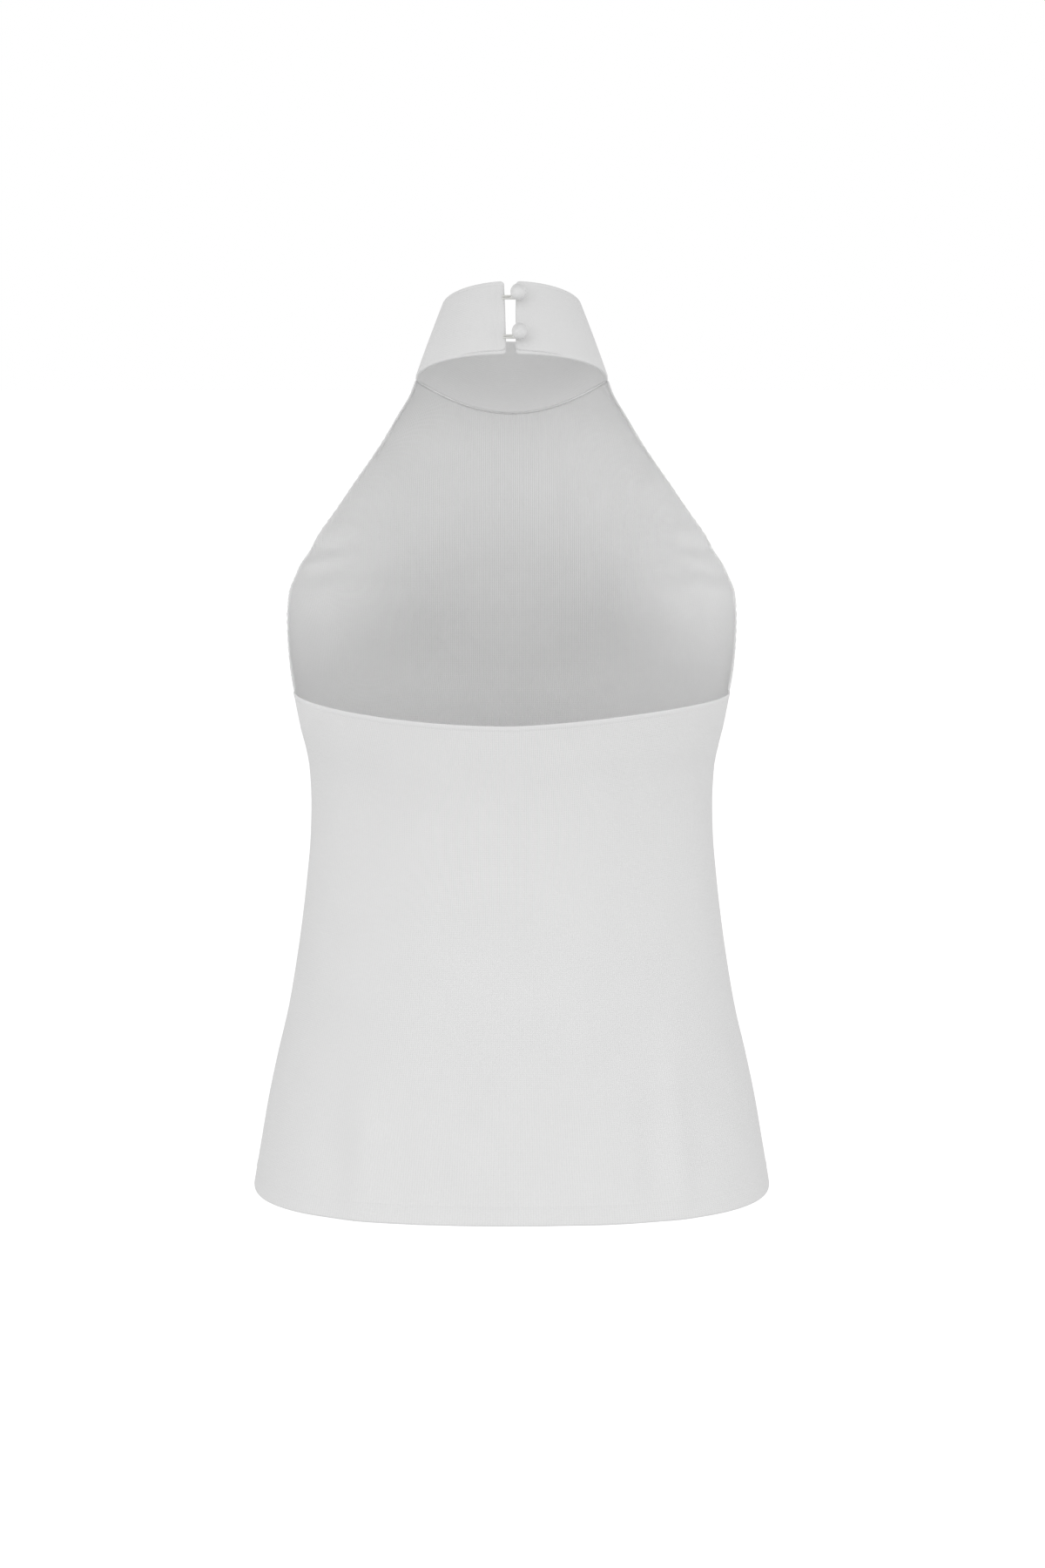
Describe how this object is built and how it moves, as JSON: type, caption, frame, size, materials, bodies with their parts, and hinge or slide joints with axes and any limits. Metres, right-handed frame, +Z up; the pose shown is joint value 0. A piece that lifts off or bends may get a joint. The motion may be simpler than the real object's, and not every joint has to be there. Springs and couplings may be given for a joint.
{
  "type": "halter-neck top",
  "caption": "Halter-neck top in fine rib knit, with an open back and a buttoned stand collar, filled out as worn and open at the neck, back and hem.",
  "frame": {"origin": "centre of the neck opening, level with the two points where the collar meets the halter edges, where the wearer's neck holds the top up", "axes": "+Z up along the wearer's neck, the front of the top faces -Y, the open back faces +Y, and the wearer's left is +X"},
  "size_m": [0.3496, 0.237, 0.6085],
  "materials": {
    "rib_knit": "white fine rib knit, matt with a faint sheen",
    "ball_button": "pearl white, softly glossy",
    "elastic_cord": "white covered elastic"
  },
  "bodies": {
    "root": {"front_panel": "rib_knit", "back_panel": "rib_knit", "collar_band": "rib_knit", "button_upper": "ball_button", "button_lower": "ball_button", "loop_upper": "elastic_cord", "loop_lower": "elastic_cord"}
  },
  "joints": []
}
